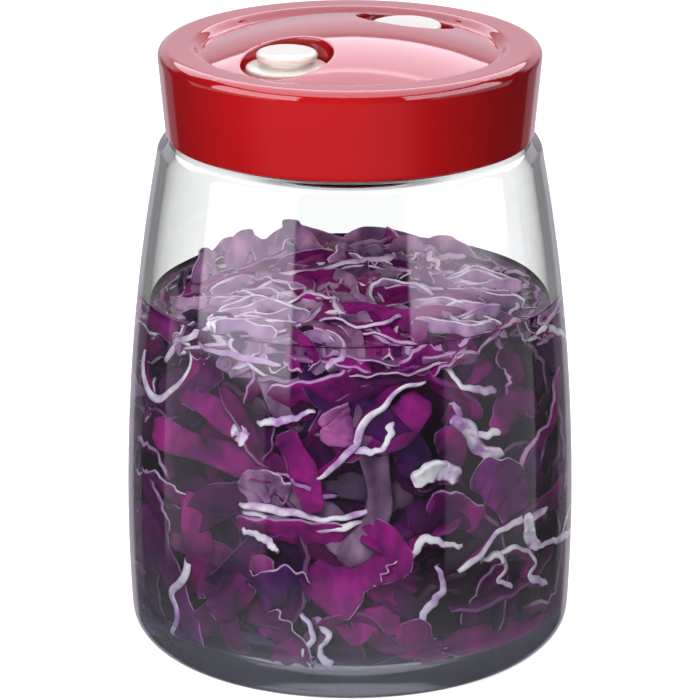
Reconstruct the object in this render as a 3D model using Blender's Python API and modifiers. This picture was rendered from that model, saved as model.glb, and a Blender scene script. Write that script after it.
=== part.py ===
"""Glass fermenting jar with a red plastic lid, filled with shredded red cabbage.

Everything is in metres, +Z up, with the origin in the middle of the base.
The lid rests on the lip of the glass, and two white valve pieces rest in
round wells in the lid's shallow dome.
"""

import math
import random

import bmesh
import bpy
from mathutils import Vector, noise

# Clearances and fineness
GAP = 0.0003              # between pieces that rest on each other
MERGE = 0.00001           # merge distance of every modifier that merges
TURN_STEPS = 48           # facets round the glass and the lid
SMALL_STEPS = 24          # facets round a valve piece

# Glass: a barrel side between the shoulder and the heel
BELLY_RADIUS = 0.0675     # widest place of the jar
BELLY_HEIGHT = 0.048
UPPER_ARC = 0.617         # radius of the long arc above the belly
LOWER_ARC = 0.500         # and of the one below it
HEEL_HEIGHT = 0.0149
HEEL_WIDTH = 0.0220
PUSH_UP = 0.0028          # rise of the middle of the base
SHOULDER_HEIGHT = 0.1560  # where the side starts to round over
SHOULDER_ROUND = 0.0050
NECK_RADIUS = 0.0504
WALL = 0.0038
FLOOR_HEIGHT = 0.0076     # top of the thick glass base
INNER_HEEL_WIDTH = 0.0230
INNER_HEEL_HEIGHT = 0.0150
MOUTH_RADIUS = 0.0464
LIP_HEIGHT = 0.1859
LIP_ROUND = 0.0016

# Lid: a cap with a flat rim, a shallow valley and a domed middle
LID_BOTTOM = 0.1618
LID_TOP = 0.1893
LID_BOTTOM_RADIUS = 0.0552
LID_TOP_RADIUS = 0.0575
LID_ROUND = 0.0030
LID_SHELL = 0.0025
RIM_INNER_RADIUS = 0.0472
VALLEY_RADIUS = 0.0450
VALLEY_HEIGHT = 0.1870
DOME_EDGE_RADIUS = 0.0436
DOME_SPHERE = 0.132
DOME_TOP = 0.1950

# Wells in the dome, and the white pieces in them
WELL_FLOOR = 0.1857
WELL_CLEAR = 0.0060       # how far the well cutters reach above the dome
CUP_WALL = 0.0016         # a cup stands round each well, under the dome
CUP_REACH = 0.0446        # no cup reaches further from the axis
KNOB_PLACE = (-0.0186, -0.0226)
KNOB_WELL = 0.0137        # radius of the knob's well
KNOB_RADIUS = 0.0092
KNOB_NECK = 0.0062
KNOB_TOP = 0.1935
KNOB_CAP = 0.0031         # thickness of the knob's cap
KNOB_FLANGE_TOP = 0.1886
BUTTON_PLACE = (0.0166, 0.0193)
BUTTON_WELL = 0.0148      # radius of the button's well
BUTTON_RADIUS = 0.0110
BUTTON_NECK = 0.0085
BUTTON_TOP = 0.1912
BUTTON_CAP = 0.0024
BUTTON_FLANGE_TOP = 0.1874
FLANGE_RADIUS = 0.0123
FLANGE_RISE = 0.0007      # from a flange's edge to its flat part

# Cabbage
HEAP_CLEARANCE = 0.0009   # from the glass to the outermost shreds
CORE_INSET = 0.0031       # from the glass to the core
HEAP_BOTTOM = 0.0125
HEAP_SHOULDER = 0.1060    # height of the core at the glass
HEAP_PEAK = 0.1215        # height of the core in the middle
HEAP_LIMIT = 0.1305       # no shred stands higher
SHRED_THICKNESS = 0.0019
SHRED_STATIONS = 6
SHRED_SEED = 5
TURN_SHARE = 0.7548777    # of a turn from one wall shred to the next
RISE_SHARE = 0.5698403    # of the heap's height, so that they spread evenly
GOLDEN_ANGLE = math.radians(137.508)
LOWEST_SHRED = 0.0220
WALL_SHREDS = 34
TOP_SHREDS = 13


def clear_scene():
    for obj in list(bpy.data.objects):
        bpy.data.objects.remove(obj, do_unlink=True)


def make_collection(name):
    """A new collection in the scene."""
    collection = bpy.data.collections.new(name)
    bpy.context.scene.collection.children.link(collection)
    return collection


def make_material(name, color, roughness, transmission=0.0):
    material = bpy.data.materials.new(name)
    material.use_nodes = True
    shader = material.node_tree.nodes["Principled BSDF"]
    shader.inputs["Base Color"].default_value = (*color, 1.0)
    shader.inputs["Roughness"].default_value = roughness
    shader.inputs["Metallic"].default_value = 0.0
    shader.inputs["Transmission Weight"].default_value = transmission
    material.diffuse_color = (*color, 1.0)
    return material


def arc(center, width, height, start, end, count):
    """Points of an elliptical arc as (radius, height), angles in degrees."""
    points = []
    for index in range(count):
        angle = math.radians(start + (end - start) * index / (count - 1))
        points.append((center[0] + width * math.cos(angle), center[1] + height * math.sin(angle)))
    return points


def side_radius(height):
    """Outer radius of the glass at a height between its heel and its shoulder."""
    rise = height - BELLY_HEIGHT
    curve = UPPER_ARC if rise > 0.0 else LOWER_ARC
    return BELLY_RADIUS - curve + math.sqrt(curve ** 2 - rise ** 2)


def inner_radius(height):
    """Inner radius of the glass at a height below its shoulder."""
    radius = side_radius(max(height, HEEL_HEIGHT)) - WALL
    heel_top = FLOOR_HEIGHT + INNER_HEEL_HEIGHT
    if height < heel_top:
        drop = min((heel_top - height) / INNER_HEEL_HEIGHT, 1.0)
        radius -= INNER_HEEL_WIDTH * (1.0 - math.sqrt(1.0 - drop ** 2))
    return radius


def dome_height(radius):
    """Height of the lid's dome at a distance from the jar's axis."""
    return DOME_TOP - DOME_SPHERE + math.sqrt(DOME_SPHERE ** 2 - radius ** 2)


def turned(name, outline, steps, collection):
    """A solid of revolution round Z; the outline's outer side runs downwards."""
    mesh = bpy.data.meshes.new(name)
    edges = [(index, index + 1) for index in range(len(outline) - 1)]
    mesh.from_pydata([(radius, 0.0, height) for radius, height in outline], edges, [])
    obj = bpy.data.objects.new(name, mesh)
    collection.objects.link(obj)
    screw = obj.modifiers.new("Turn", "SCREW")
    screw.axis = "Z"
    screw.steps = steps
    screw.render_steps = steps
    screw.use_merge_vertices = True
    screw.merge_threshold = MERGE
    screw.use_smooth_shade = True
    return obj


def cylinder(name, radius, bottom, top, place, steps, collection):
    """An upright cylinder at a place in plan."""
    mesh = bpy.data.meshes.new(name)
    shape = bmesh.new()
    bmesh.ops.create_cone(
        shape, cap_ends=True, segments=steps, radius1=radius, radius2=radius, depth=top - bottom
    )
    bmesh.ops.translate(shape, verts=shape.verts, vec=(*place, (bottom + top) / 2.0))
    shape.to_mesh(mesh)
    shape.free()
    obj = bpy.data.objects.new(name, mesh)
    collection.objects.link(obj)
    return obj


def as_cutter(obj):
    """A solid that only cuts: it is no part of the jar."""
    obj.hide_render = True
    obj.display_type = "WIRE"


def add_boolean(obj, operation, collection=None, other=None):
    boolean = obj.modifiers.new(operation.title(), "BOOLEAN")
    boolean.operation = operation
    boolean.solver = "EXACT"
    if collection is not None:
        boolean.operand_type = "COLLECTION"
        boolean.collection = collection
    else:
        boolean.object = other
    return boolean


def bake_modifiers(obj):
    """Give the object its evaluated mesh, and drop its modifiers."""
    graph = bpy.context.evaluated_depsgraph_get()
    mesh = bpy.data.meshes.new_from_object(obj.evaluated_get(graph))
    obj.modifiers.clear()
    obj.data = mesh


def glass_outline():
    """The glass from the middle of its floor, up inside, over the lip and down outside."""
    heel_top = FLOOR_HEIGHT + INNER_HEEL_HEIGHT
    wall_radius = inner_radius(heel_top)
    inside = [(0.0, FLOOR_HEIGHT + 0.0006)]
    inside += arc(
        (wall_radius - INNER_HEEL_WIDTH, heel_top),
        INNER_HEEL_WIDTH, INNER_HEEL_HEIGHT, -90.0, 0.0, 5,
    )
    inside += [(inner_radius(height), height) for height in (0.055, 0.088, 0.120)]
    shoulder_start = SHOULDER_HEIGHT - 0.005
    inside += arc(
        (inner_radius(shoulder_start) - 0.0060, shoulder_start), 0.0060, 0.0058, 0.0, 55.0, 3
    )
    inside += [(MOUTH_RADIUS, SHOULDER_HEIGHT + 0.0048), (MOUTH_RADIUS, LIP_HEIGHT - LIP_ROUND)]
    lip_middle = LIP_HEIGHT - LIP_ROUND
    lip = arc((MOUTH_RADIUS + LIP_ROUND, lip_middle), LIP_ROUND, LIP_ROUND, 180.0, 90.0, 3)[1:]
    lip += arc((NECK_RADIUS - LIP_ROUND, lip_middle), LIP_ROUND, LIP_ROUND, 90.0, 0.0, 3)
    shoulder_center = (side_radius(SHOULDER_HEIGHT) - SHOULDER_ROUND, SHOULDER_HEIGHT)
    outside = [(NECK_RADIUS, SHOULDER_HEIGHT + SHOULDER_ROUND)]
    outside += arc(shoulder_center, SHOULDER_ROUND, SHOULDER_ROUND, 90.0, 0.0, 4)
    outside += [(side_radius(height), height) for height in (0.128, 0.100, 0.072, 0.044)]
    heel_radius = side_radius(HEEL_HEIGHT)
    outside += arc((heel_radius - HEEL_WIDTH, HEEL_HEIGHT), HEEL_WIDTH, HEEL_HEIGHT, 0.0, -90.0, 6)
    foot_inner = heel_radius - HEEL_WIDTH - 0.0035
    outside += [(foot_inner, 0.0), (foot_inner - 0.0060, PUSH_UP * 0.6), (0.0, PUSH_UP)]
    return inside + lip + outside


def lid_outline():
    """The lid from the underside of its dome, out and down inside the skirt, then up and back."""
    under = DOME_SPHERE - LID_SHELL
    sphere_center = DOME_TOP - DOME_SPHERE
    inside = [
        (radius, sphere_center + math.sqrt(under ** 2 - radius ** 2))
        for radius in (0.0, 0.015, 0.030, DOME_EDGE_RADIUS - 0.0006)
    ]
    inside += [
        (VALLEY_RADIUS, VALLEY_HEIGHT - LID_SHELL),
        (RIM_INNER_RADIUS - 0.0014, LIP_HEIGHT + GAP),
        (LID_BOTTOM_RADIUS - LID_SHELL, LIP_HEIGHT + GAP),
        (LID_BOTTOM_RADIUS - LID_SHELL, LID_BOTTOM),
    ]
    edge = [(LID_BOTTOM_RADIUS - 0.0004, LID_BOTTOM), (LID_BOTTOM_RADIUS, LID_BOTTOM + 0.0004)]
    outside = [(0.0563, 0.1735)]
    outside += arc(
        (LID_TOP_RADIUS - LID_ROUND, LID_TOP - LID_ROUND), LID_ROUND, LID_ROUND, 0.0, 90.0, 5
    )
    top = [(RIM_INNER_RADIUS, LID_TOP - 0.0001), (RIM_INNER_RADIUS - 0.0010, LID_TOP - 0.0011)]
    top += [(VALLEY_RADIUS, VALLEY_HEIGHT), (VALLEY_RADIUS - 0.0010, VALLEY_HEIGHT + 0.0004)]
    dome_radii = [DOME_EDGE_RADIUS * (1.0 - index / 7.0) for index in range(8)]
    dome = [(radius, dome_height(radius)) for radius in dome_radii]
    # The outer side has to run downwards, so the whole outline is reversed
    return list(reversed(inside + edge + outside + top + dome))


def build_glass(parts):
    glass = turned("jar_glass", glass_outline(), TURN_STEPS, parts)
    glass.data.materials.append(make_material("clear_glass", (0.93, 0.95, 0.95), 0.02, 1.0))
    return glass


def build_lid(parts, cutters):
    lid = turned("lid", lid_outline(), TURN_STEPS, parts)
    lid.data.materials.append(make_material("red_plastic", (0.52, 0.016, 0.020), 0.12))
    dome_radii = (0.0, 0.012, 0.024, 0.034, CUP_REACH)
    below_dome = [(radius, dome_height(radius) - LID_SHELL / 2.0) for radius in dome_radii]
    below_dome += [(CUP_REACH, LID_BOTTOM), (0.0, LID_BOTTOM)]
    dome_solid = turned("dome_solid", below_dome, TURN_STEPS, cutters)
    cups = make_collection("cups")
    wells = make_collection("wells")
    for place, radius in ((KNOB_PLACE, KNOB_WELL), (BUTTON_PLACE, BUTTON_WELL)):
        top = DOME_TOP + WELL_CLEAR
        cup = cylinder(
            "cup", radius + CUP_WALL, WELL_FLOOR - CUP_WALL, top, place, SMALL_STEPS, cups
        )
        add_boolean(cup, "INTERSECT", other=dome_solid)
        bake_modifiers(cup)
        as_cutter(cup)
        well = cylinder("well", radius, WELL_FLOOR, top, place, SMALL_STEPS, wells)
        as_cutter(well)
    bpy.data.objects.remove(dome_solid)
    add_boolean(lid, "UNION", collection=cups)
    add_boolean(lid, "DIFFERENCE", collection=wells)
    return lid


def white_piece(name, cap, neck_radius, flange_top, place, material, parts):
    """A round cap on a short neck, over a flange; cap is its radius, top and thickness."""
    bottom = WELL_FLOOR + GAP
    cap_radius, cap_top, thickness = cap
    edge = thickness / 2.0
    outline = [(0.0, cap_top), (cap_radius * 0.55, cap_top - 0.0001)]
    outline += arc((cap_radius - edge, cap_top - edge - 0.0002), edge, edge, 90.0, -90.0, 6)
    outline += [
        (neck_radius, cap_top - thickness - 0.0003),
        (neck_radius, flange_top + FLANGE_RISE + 0.0002),
        (FLANGE_RADIUS - 0.0030, flange_top + FLANGE_RISE),
        (FLANGE_RADIUS, flange_top),
        (FLANGE_RADIUS, bottom),
        (0.0, bottom),
    ]
    piece = turned(name, outline, SMALL_STEPS, parts)
    piece.location = (*place, 0.0)
    piece.data.materials.append(material)
    return piece


def core_top(x, y):
    """Height of the cabbage core over a place in plan: a low uneven hill."""
    across = min(math.hypot(x, y) / inner_radius(HEAP_SHOULDER), 1.0)
    hill = HEAP_SHOULDER + (HEAP_PEAK - HEAP_SHOULDER) * (1.0 - across ** 2)
    return hill + 0.0028 * noise.noise(Vector((x, y, 0.4)) * 42.0)


def build_core(collection):
    """The bare heap: a turned body with a lumpy surface."""
    bottom_radius = inner_radius(HEAP_BOTTOM) - CORE_INSET - 0.006
    outline = [(0.0, HEAP_PEAK)]
    outline += [(radius, HEAP_PEAK) for radius in (0.015, 0.030, 0.044)]
    heights = (HEAP_SHOULDER, 0.090, 0.074, 0.058, 0.042, 0.028, 0.019)
    outline += [(inner_radius(height) - CORE_INSET, height) for height in heights]
    outline += [(bottom_radius, HEAP_BOTTOM), (0.0, HEAP_BOTTOM)]
    core = turned("cabbage", outline, 30, collection)
    bake_modifiers(core)
    for vertex in core.data.vertices:
        spot = vertex.co
        if spot.z > HEAP_SHOULDER - 0.001:
            spot.z = core_top(spot.x, spot.y)
        elif spot.z > HEAP_BOTTOM + 0.001:
            lump = noise.noise(spot * 60.0)
            squeeze = 1.0 + 0.009 * lump
            spot.x *= squeeze
            spot.y *= squeeze
    return core


def shred_solid(name, stations, sides, width, collection):
    """A thin strip through the stations; sides are its width directions."""
    vertices = []
    last = len(stations) - 1
    for index, (spot, side) in enumerate(zip(stations, sides)):
        ahead = stations[min(index + 1, last)] - stations[max(index - 1, 0)]
        ahead.normalize()
        flat = (side - ahead * side.dot(ahead)).normalized()
        up = ahead.cross(flat)
        taper = 0.45 if index in (0, last) else 1.0
        across = flat * width * 0.5 * taper
        thick = up * SHRED_THICKNESS * 0.5
        vertices += [spot + across + thick, spot - across + thick]
        vertices += [spot - across - thick, spot + across - thick]
    faces = [(3, 2, 1, 0)]
    for index in range(last):
        low = index * 4
        for corner in range(4):
            other = (corner + 1) % 4
            faces.append((low + corner, low + other, low + 4 + other, low + 4 + corner))
    end = last * 4
    faces.append((end, end + 1, end + 2, end + 3))
    mesh = bpy.data.meshes.new(name)
    mesh.from_pydata(vertices, [], faces)
    shape = bmesh.new()
    shape.from_mesh(mesh)
    bmesh.ops.recalc_face_normals(shape, faces=shape.faces)
    shape.to_mesh(mesh)
    shape.free()
    obj = bpy.data.objects.new(name, mesh)
    collection.objects.link(obj)
    return obj


def wall_shred(index, draw, collection):
    """A shred pressed against the glass, curling as it runs round the jar."""
    length = draw.uniform(0.030, 0.060)
    width = draw.uniform(0.0050, 0.0110)
    angle = 2.0 * math.pi * TURN_SHARE * index + draw.uniform(-0.2, 0.2)
    height = LOWEST_SHRED + (HEAP_SHOULDER - LOWEST_SHRED) * ((index * RISE_SHARE) % 1.0)
    slope = math.radians(draw.uniform(-65.0, 65.0))
    wave = draw.uniform(0.0015, 0.0050)
    phase = draw.uniform(0.0, 6.28)
    turns = draw.uniform(3.5, 6.0)
    stations = []
    sides = []
    for step in range(SHRED_STATIONS):
        along = step / (SHRED_STATIONS - 1) - 0.5
        sway = wave * math.sin(turns * along + phase)
        round_jar = length * along * math.cos(slope) - sway * math.sin(slope)
        level = height + length * along * math.sin(slope) + sway * math.cos(slope)
        level = min(max(level, 0.0150 + width), HEAP_SHOULDER + 0.002)
        here = angle + round_jar / BELLY_RADIUS
        ripple = 0.0006 * (1.0 + math.sin(5.0 * along + phase))
        inset = HEAP_CLEARANCE + SHRED_THICKNESS * 0.5 + ripple
        outward = Vector((math.cos(here), math.sin(here), 0.0))
        room = min(inner_radius(level - width * 0.5), inner_radius(level + width * 0.5))
        spot = outward * (math.sqrt(room ** 2 - width ** 2 * 0.25) - inset)
        spot.z = level
        stations.append(spot)
        tangent = Vector((-math.sin(here), math.cos(here), 0.0))
        side = tangent * -math.sin(slope)
        side.z = math.cos(slope)
        sides.append(side.normalized())
    return shred_solid("wall_shred_%02d" % index, stations, sides, width, collection)


def top_shred(index, draw, collection):
    """A shred that lies on the heap, arched and curling in plan."""
    length = draw.uniform(0.026, 0.050)
    width = draw.uniform(0.0060, 0.0110)
    reach = 0.046 * math.sqrt((index + 0.5) / TOP_SHREDS)
    around = index * GOLDEN_ANGLE
    middle = Vector((reach * math.cos(around), reach * math.sin(around), 0.0))
    heading = draw.uniform(0.0, math.pi)
    bend = draw.uniform(-1.6, 1.6)
    lift = draw.uniform(0.0015, 0.0065)
    lean = draw.choice((-1.6, -0.7, 0.5, 1.4))
    spot = middle - Vector((math.cos(heading), math.sin(heading), 0.0)) * length * 0.5
    heading -= bend * 0.5
    stations = []
    sides = []
    for step in range(SHRED_STATIONS):
        along = step / (SHRED_STATIONS - 1)
        limit = inner_radius(HEAP_SHOULDER) - 0.0050
        radius = math.hypot(spot.x, spot.y)
        if radius > limit:
            spot = spot * (limit / radius)
        point = spot.copy()
        point.z = core_top(point.x, point.y) - 0.0010 + lift * math.sin(math.pi * along)
        point.z = min(point.z, HEAP_LIMIT - width * 0.5)
        stations.append(point)
        turn = heading + bend * along
        sides.append(Vector((-math.sin(turn), math.cos(turn), lean)).normalized())
        stride = length / (SHRED_STATIONS - 1)
        spot = spot + Vector((math.cos(turn), math.sin(turn), 0.0)) * stride
    return shred_solid("top_shred_%02d" % index, stations, sides, width, collection)


def keep_largest_body(mesh):
    """Drop loose scraps and fill sealed hollows, which are bodies of their own."""
    shape = bmesh.new()
    shape.from_mesh(mesh)
    waiting = set(shape.verts)
    bodies = []
    while waiting:
        front = [waiting.pop()]
        body = list(front)
        while front:
            vertex = front.pop()
            for edge in vertex.link_edges:
                other = edge.other_vert(vertex)
                if other in waiting:
                    waiting.remove(other)
                    front.append(other)
                    body.append(other)
        bodies.append(body)
    bodies.sort(key=len)
    for body in bodies[:-1]:
        bmesh.ops.delete(shape, geom=body, context="VERTS")
    shape.to_mesh(mesh)
    shape.free()


def build_cabbage(parts):
    """The heap of shreds, fused to one solid."""
    draw = random.Random(SHRED_SEED)
    core = build_core(parts)
    shreds = make_collection("shreds")
    for index in range(WALL_SHREDS):
        wall_shred(index, draw, shreds)
    for index in range(TOP_SHREDS):
        top_shred(index, draw, shreds)
    add_boolean(core, "UNION", collection=shreds)
    bake_modifiers(core)
    keep_largest_body(core.data)
    for obj in list(shreds.objects):
        bpy.data.objects.remove(obj, do_unlink=True)
    core.data.materials.clear()
    core.data.materials.append(make_material("red_cabbage", (0.17, 0.010, 0.13), 0.35))
    return core


def main():
    clear_scene()
    parts = make_collection("fermenting_jar")
    cutters = make_collection("cutters")
    build_glass(parts)
    build_lid(parts, cutters)
    white = make_material("white_plastic", (0.90, 0.89, 0.84), 0.25)
    knob = (KNOB_RADIUS, KNOB_TOP, KNOB_CAP)
    white_piece("valve_knob", knob, KNOB_NECK, KNOB_FLANGE_TOP, KNOB_PLACE, white, parts)
    button = (BUTTON_RADIUS, BUTTON_TOP, BUTTON_CAP)
    white_piece("vent_button", button, BUTTON_NECK, BUTTON_FLANGE_TOP, BUTTON_PLACE, white, parts)
    build_cabbage(parts)


main()
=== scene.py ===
import math
import random

import bmesh
import bpy
import numpy as np
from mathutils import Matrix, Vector, geometry, noise


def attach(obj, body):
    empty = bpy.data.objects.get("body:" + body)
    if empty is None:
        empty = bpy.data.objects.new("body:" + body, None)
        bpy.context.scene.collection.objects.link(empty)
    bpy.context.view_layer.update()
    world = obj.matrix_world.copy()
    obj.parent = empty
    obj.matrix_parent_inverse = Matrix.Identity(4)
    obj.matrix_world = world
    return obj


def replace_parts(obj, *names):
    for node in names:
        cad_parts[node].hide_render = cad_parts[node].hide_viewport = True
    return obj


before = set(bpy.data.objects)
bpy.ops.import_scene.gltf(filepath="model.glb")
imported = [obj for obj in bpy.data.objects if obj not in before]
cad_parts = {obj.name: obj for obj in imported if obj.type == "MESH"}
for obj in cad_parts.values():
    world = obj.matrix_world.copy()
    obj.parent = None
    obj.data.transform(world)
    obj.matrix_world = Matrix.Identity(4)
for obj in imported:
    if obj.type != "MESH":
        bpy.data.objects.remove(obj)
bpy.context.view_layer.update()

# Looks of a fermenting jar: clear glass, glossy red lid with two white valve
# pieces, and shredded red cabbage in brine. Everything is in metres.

# Camera: a long lens, two metres away and 17 degrees above the jar
CAMERA_DISTANCE = 2.0
CAMERA_PITCH = math.radians(17.0)
CAMERA_LENS = 340.0
SENSOR = 36.0
AIM_HEIGHT = 0.09388
FRAME = 700.0             # width and height of the picture, in pixels

# Stage: how bright the room is in mirrors, as light, and through the glass
FLOOR_REACH = 6.0
FLOOR_GLOW = 0.75
# The floor seen through the glass glows less: painted shade for the jar's shadow, which the glass
# does not cast
FLOOR_GLOW_LOSS = 0.32    # where it is seen through the glass
ROOM_LEVEL = 0.03
LIGHTING_LEVEL = 0.09
THROUGH_LEVEL = 0.75
# Soft boxes: whether on both sides, angles round the jar (0 is the camera's side and
# positive is to the right), angles above the floor, softness, brightness
SOFT_BOXES = (
    (False, (-89.0, -31.0), (-8.0, 34.0), 1.2, 5.0),
    (False, (33.0, 100.0), (-4.5, 34.0), 1.4, 4.6),
    (False, (-112.0, -44.0), (-19.5, -9.0), 1.0, 0.7),
    (False, (50.0, 112.0), (-19.5, -5.0), 1.0, 0.7),
    (True, (0.0, 200.0), (45.0, 95.0), 2.0, 3.3),
    (False, (-60.0, 40.0), (-36.0, -19.5), 14.0, 0.22),
    (True, (118.0, 200.0), (24.5, 46.0), 0.8, 3.5),
    (True, (128.0, 200.0), (2.0, 24.5), 6.0, 1.0),
    (True, (154.0, 200.0), (-35.0, 2.0), 5.0, 0.6),
    (True, (138.0, 158.0), (-20.5, 2.0), 2.0, 0.2),
)
MIRROR_TINT = (1.0, 0.93, 1.06)
# For rays that turned back inside the glass: a darker patch (angles round the jar,
# angles above the floor, softness), and the levels outside and inside it
INNER_PATCH = ((-10.0, 112.0), (-45.0, 6.0), 5.0)
INNER_LEVELS = (0.24, 0.09)
# Lights: name, place, aim, width, height, power
LIGHTS = (
    ("key", (-0.05, -0.21, 0.19), (0.0, 0.0, 0.09), 0.06, 0.12, 0.29),
    ("rear", (0.5, 0.9, 0.7), (0.0, 0.0, 0.09), 0.7, 0.7, 4.5),
    ("top", (0.0, 0.2, 1.4), (0.0, 0.0, 0.10), 1.2, 0.8, 12.0),
)

AXIS = (0.0, 0.0)         # of the jar, in plan

# Glass, as in the solid
BELLY_RADIUS = 0.0675
BELLY_HEIGHT = 0.048
UPPER_ARC = 0.617
LOWER_ARC = 0.500
HEEL_HEIGHT = 0.0149
HEEL_WIDTH = 0.0220
PUSH_UP = 0.0028
SHOULDER_HEIGHT = 0.1560
SHOULDER_ROUND = 0.0050
SOFT_SHOULDER = 0.0045    # the shoulder's round as it looks
NECK_RADIUS = 0.0504
WALL = 0.0038
FLOOR_HEIGHT = 0.0076
FLOOR_RISE = 0.0006       # the floor is this much higher in the middle
FOOT_WIDTH = 0.0035       # of the ring that the jar stands on
STREAK_TOP = 0.011        # the streaks in the base start here
STREAK_FULL = 0.007       # and are full here
INNER_HEEL_WIDTH = 0.0230
INNER_HEEL_HEIGHT = 0.0150
INNER_HEEL_TOP = FLOOR_HEIGHT + INNER_HEEL_HEIGHT
MOUTH_RADIUS = 0.0464
LIP_HEIGHT = 0.1859
LIP_ROUND = 0.0016
# From the shoulder to the mouth: how far wider than the mouth, and how far up
THROAT = ((0.0010, 0.0025), (0.0, 0.0036))
GLASS_STEPS = 192
GLASS_SPACING = 0.0009    # between points of the outline

# Lid, as in the solid
LID_BOTTOM = 0.1618
LID_TOP = 0.1893
LID_BOTTOM_RADIUS = 0.0552
LID_TOP_RADIUS = 0.0575
LID_ROUND = 0.0030
LID_SHELL = 0.0025
RIM_INNER_RADIUS = 0.0472
VALLEY_RADIUS = 0.0450
VALLEY_HEIGHT = 0.1870
DOME_EDGE_RADIUS = 0.0436
DOME_SPHERE = 0.132
DOME_TOP = 0.1950
SKIRT_MIDDLE = (0.0563, 0.1735)
CUP_TOP = 0.1862
LID_STEPS = 192
LID_SPACING = 0.0004
RED = (0.500, 0.008, 0.011)
NET_MARGIN = 0.0007       # from a well to the next ring of the dome's net
NET_SPACING = 0.0016
WELL_ROUND = 0.0006
WELL_FLOOR = 0.1857
WELL_STEPS = 96
CUP_WALL = 0.0016
KNOB_PLACE = (-0.0186, -0.0226)
KNOB_WELL = 0.0137
BUTTON_PLACE = (0.0166, 0.0193)
BUTTON_WELL = 0.0148
WELLS = ((KNOB_PLACE, KNOB_WELL), (BUTTON_PLACE, BUTTON_WELL))
SEAT_GAP = 0.0003

# White valve pieces, as in the solid: piece, node, radius, top and thickness of the
# cap, radius of the neck, height of the flange, place
FLANGE_RADIUS = 0.0123
FLANGE_RISE = 0.0007
WHITE_SPACING = 0.0003
CREAM = (0.94, 0.93, 0.87)
WHITE_PIECES = (
    ("white_knob", "valve_knob", 0.0092, 0.1935, 0.0031, 0.0062, 0.1886, KNOB_PLACE),
    ("white_button", "vent_button", 0.0110, 0.1912, 0.0024, 0.0085, 0.1874, BUTTON_PLACE),
)

# Filling
WATER_HEIGHT = 0.1120
# The brine's pale haze towards the bottom is painted light, for the light that comes in under the
# heap
PAINTED_LIGHT_HAZE_TOP = 0.045          # the haze in the brine starts here
PAINTED_LIGHT_HAZE_FULL = 0.010         # and is full here
RIPPLE = 0.00025
MENISCUS_RISE = 0.0014
MENISCUS_REACH = 0.0035
INTO_WALL = 0.0004
SHRED_CLEARANCE = 0.0004
HEAP_BOTTOM = 0.0150
HEAP_SHOULDER = 0.1060
HEAP_PEAK = 0.1190
HEAP_LIMIT = 0.1300
HEAP_LUMPS = 0.0028       # how uneven its top is
CORE_DROP = 0.0040        # from the heap's top to the core's
PHASES = (0.0, 6.28)      # a ribbon's waves start anywhere in a turn
RIBBON_STATIONS = 20
TOP_STATIONS = 26
TOP_REACH = 0.0580
WALL_LIMIT = 0.1080       # above this height a wall shred is bent over
WALL_BEND = 0.8           # by this share
FLOOR_CLEARANCE = 0.0012  # between the shreds and the glass below
# Leaves that stand up out of the heap: x, y and height of the tip, heading, length
CRESTS = (
    (-0.0290, 0.020, 0.1265, 0.5, 0.016),
    (-0.0150, 0.022, 0.1285, -0.6, 0.018),
    (-0.0020, 0.012, 0.1245, 1.2, 0.012),
    (-0.0420, 0.006, 0.1250, 1.0, 0.015),
    (0.0200, 0.026, 0.1225, 0.4, 0.016),
    (-0.0100, 0.052, 0.1185, 0.1, 0.034),
    (0.0150, 0.053, 0.1175, -0.2, 0.036),
    (0.0340, 0.043, 0.1170, -0.7, 0.030),
    (-0.0340, 0.044, 0.1175, 0.7, 0.030),
)
CREST_WIDTH = 0.0060
CREST_THICKNESS = 0.0012
# Nests of pale cut edges at the waterline, which also stand in for the brine's bright reflections
# there as painted reflection: x from and to, y, bow, how many
REFLECTION_NESTS = (
    (-0.0410, -0.0110, -0.0480, 0.0060, 11),
    (0.0180, 0.0440, -0.0400, -0.0050, 6),
    (0.0230, 0.0520, -0.0160, 0.0050, 6),
)
NEST_SPACING = 0.0033
NEST_RISE = 0.0016        # above the liquid
NEST_WIDTH = 0.0042
NEST_THICKNESS = 0.0019
TOP_COUNT = 230
TOP_SPREAD = 0.0595
TOP_LENGTHS = (0.020, 0.050)
TOP_WIDTHS = (0.003, 0.0075)
TOP_THICKNESSES = (0.0010, 0.0020)
TOP_BENDS = (-3.2, 3.2)
TOP_WAVES = (1.0, 5.0)
TOP_LIFT = 0.0035         # a ribbon's middle is this much higher at the most
HIGH_LIFT = 0.0030        # and this much more in a few
HIGH_SHARE = 0.12
TOP_LEANS = ((0.9, 1.8), (-0.4, 0.4))
TOP_TILT = 0.16
# How far ribbons may stand out of the liquid: at the edge, and more within a radius
EDGE_RISE = 0.0030
MIDDLE_RISE = 0.0050
MIDDLE_REACH = 0.045
TURN_SHARE = 0.7548777    # of a turn from one wall shred to the next
RISE_SHARE = 0.5698403    # of the heap's height, so that they spread evenly
GOLDEN_ANGLE = math.radians(137.508)
LOWEST_SHRED = 0.0190
CORE_INSET = 0.0095
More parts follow.
